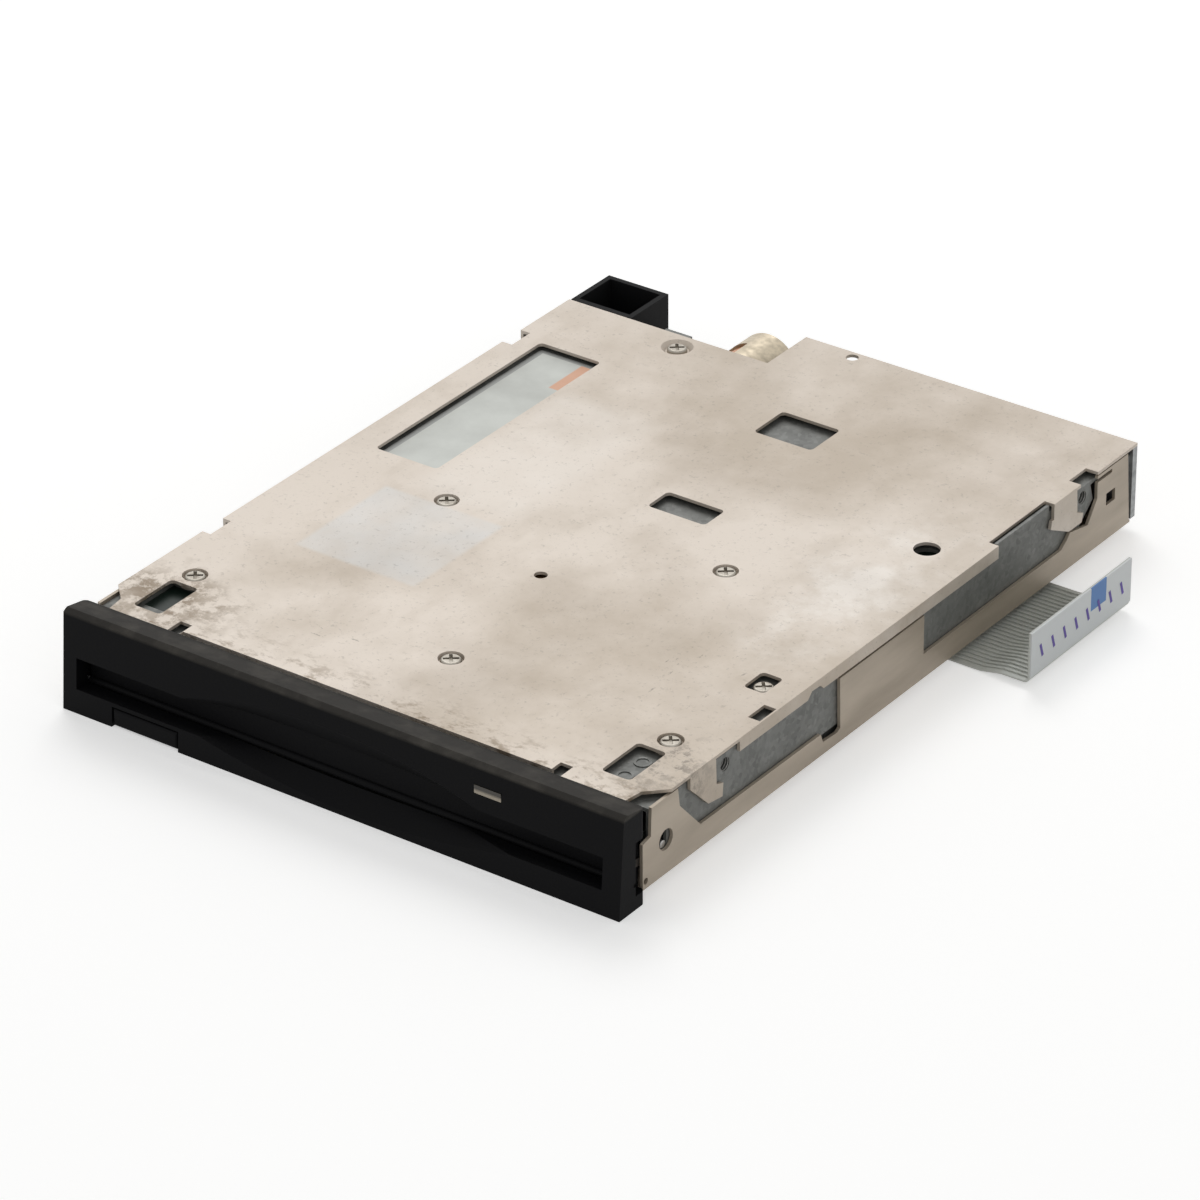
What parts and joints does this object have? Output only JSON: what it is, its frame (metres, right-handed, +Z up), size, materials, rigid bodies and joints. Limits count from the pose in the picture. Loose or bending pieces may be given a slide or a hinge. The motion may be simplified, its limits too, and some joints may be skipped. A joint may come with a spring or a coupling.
{
  "type": "floppy disk drive",
  "caption": "slim drive for 3.5-inch disks: pressed steel case, black slotted front with eject button, spindle and stepper motors, head carriage and flat ribbon cable",
  "frame": {"origin": "below the middle of the drive, level with the lower edge of its front bezel; the cable is left out", "axes": "+Z up through the label-side plate, as pictured (in use the drive is turned over about Y); -Y out through the disk slot; +X to the right when looking at the slot"},
  "size_m": [0.109, 0.1337, 0.0157],
  "materials": {
    "nickel_steel": "nickel-plated pressed steel, warm satin",
    "galvanised_steel": "galvanised steel with fine spangle",
    "black_plastic": "fine-textured black moulding",
    "dark_plastic": "black glass-filled moulding",
    "clear_lens": "smoky light pipe",
    "spring_steel": "bright spring steel",
    "bronze": "phosphor bronze",
    "label_foil": "bare silver-grey foil",
    "screw_steel": "nickel-plated screws",
    "magnet": "bonded ferrite",
    "copper": "enamelled copper wire",
    "core_steel": "laminated core steel",
    "board_green": "glass-epoxy board with green resist",
    "chip_black": "moulded chip packages",
    "white_plastic": "natural moulding",
    "cable_grey": "clear film over tinned flat conductors",
    "cable_white": "white stiffening film",
    "head_ceramic": "polished ceramic head",
    "flex_amber": "polyimide ribbon",
    "zinc": "cast zinc block"
  },
  "bodies": {
    "chassis": {"base_plate": "nickel_steel", "shell_cover": "nickel_steel", "main_chassis": "galvanised_steel", "label_plate": "label_foil", "cover_screws": "screw_steel", "lower_cover_screw": "screw_steel", "front_bezel": "black_plastic", "door_pin": "spring_steel", "led_lens": "clear_lens", "status_led": "clear_lens", "bezel_clips": "bronze", "eject_springs": "spring_steel", "spring_seats": "galvanised_steel", "spindle_bearing": "bronze", "stator_core": "core_steel", "stator_coils": "copper", "logic_board": "board_green", "board_chips": "chip_black", "cable_connector": "white_plastic", "interface_cable": "cable_grey", "cable_stiffener": "cable_white", "stepper_can": "galvanised_steel", "stepper_coils": "copper", "stepper_bracket": "galvanised_steel", "stepper_end_bush": "bronze", "guide_rod": "spring_steel", "rod_holders": "dark_plastic", "lever_post": "spring_steel", "lever_spring": "spring_steel", "disk_switches": "dark_plastic", "track_zero_sensor": "dark_plastic", "head_flex": "flex_amber", "flex_connector": "white_plastic", "corner_housing": "dark_plastic", "corner_block": "zinc"},
    "slider": {"slide_plate": "galvanised_steel", "eject_button": "black_plastic"},
    "tray": {"disk_tray": "galvanised_steel", "tray_studs": "spring_steel", "disk_springs": "spring_steel"},
    "rotor": {"rotor_cup": "galvanised_steel", "ring_magnet": "magnet", "drive_hub": "spring_steel", "spindle_shaft": "spring_steel"},
    "pin": {"drive_pin": "spring_steel"},
    "carriage": {"head_carriage": "dark_plastic", "fixed_head": "head_ceramic", "arm_pin": "spring_steel", "arm_spring": "spring_steel"},
    "arm": {"head_arm": "spring_steel", "moving_head": "head_ceramic"},
    "screw": {"lead_screw": "spring_steel", "stepper_rotor": "magnet"},
    "lever": {"shutter_lever": "white_plastic"},
    "door": {"slot_door": "black_plastic"},
    "protect": {"protect_plunger": "white_plastic"},
    "density": {"density_plunger": "white_plastic"},
    "disk": {"disk_plunger": "white_plastic"}
  },
  "joints": [
    {"name": "slider_slide", "type": "slide", "parent": "chassis", "child": "slider", "axis": [0, -1, 0], "range_m": [0, 0.005]},
    {"name": "tray_lift", "type": "slide", "parent": "chassis", "child": "tray", "axis": [0, 0, 1], "range_m": [0, 0.0018]},
    {"name": "rotor_spin", "type": "hinge", "parent": "chassis", "child": "rotor", "pos_m": [0, -0.0165, 0.0107], "axis": [0, 0, 1], "continuous": true},
    {"name": "pin_press", "type": "slide", "parent": "rotor", "child": "pin", "axis": [0, 0, 1], "range_m": [0, 0.0005], "stiffness_N_per_m": 60},
    {"name": "carriage_slide", "type": "slide", "parent": "chassis", "child": "carriage", "axis": [0, -1, 0], "range_m": [0, 0.015]},
    {"name": "arm_hinge", "type": "hinge", "parent": "carriage", "child": "arm", "pos_m": [0, 0.052, 0.0058], "axis": [-1, 0, 0], "range_deg": [0, 7.31]},
    {"name": "screw_turn", "type": "hinge", "parent": "chassis", "child": "screw", "pos_m": [-0.017, 0.04, 0.0084], "axis": [0, 1, 0], "range_deg": [0, 1801]},
    {"name": "lever_swing", "type": "hinge", "parent": "chassis", "child": "lever", "pos_m": [0.036, 0.021, 0.0101], "axis": [0, 0, -1], "range_deg": [0, 77], "stiffness_Nm_per_rad": 0.0008},
    {"name": "door_hinge", "type": "hinge", "parent": "chassis", "child": "door", "pos_m": [0, -0.06235, 0.00395], "axis": [-1, 0, 0], "range_deg": [0, 88], "stiffness_Nm_per_rad": 0.0008},
    {"name": "protect_press", "type": "slide", "parent": "chassis", "child": "protect", "axis": [0, 0, 1], "range_m": [0, 0.0008], "stiffness_N_per_m": 100},
    {"name": "density_press", "type": "slide", "parent": "chassis", "child": "density", "axis": [0, 0, 1], "range_m": [0, 0.0008], "stiffness_N_per_m": 100},
    {"name": "disk_press", "type": "slide", "parent": "chassis", "child": "disk", "axis": [0, 0, 1], "range_m": [0, 0.0008], "stiffness_N_per_m": 100}
  ],
  "couplings": [
    {"joint": "tray_lift", "follows": "slider_slide", "ratio": 0.36},
    {"joint": "arm_hinge", "follows": "slider_slide", "rad_per_m": 25.48},
    {"joint": "screw_turn", "follows": "carriage_slide", "rad_per_m": 2094.4}
  ]
}
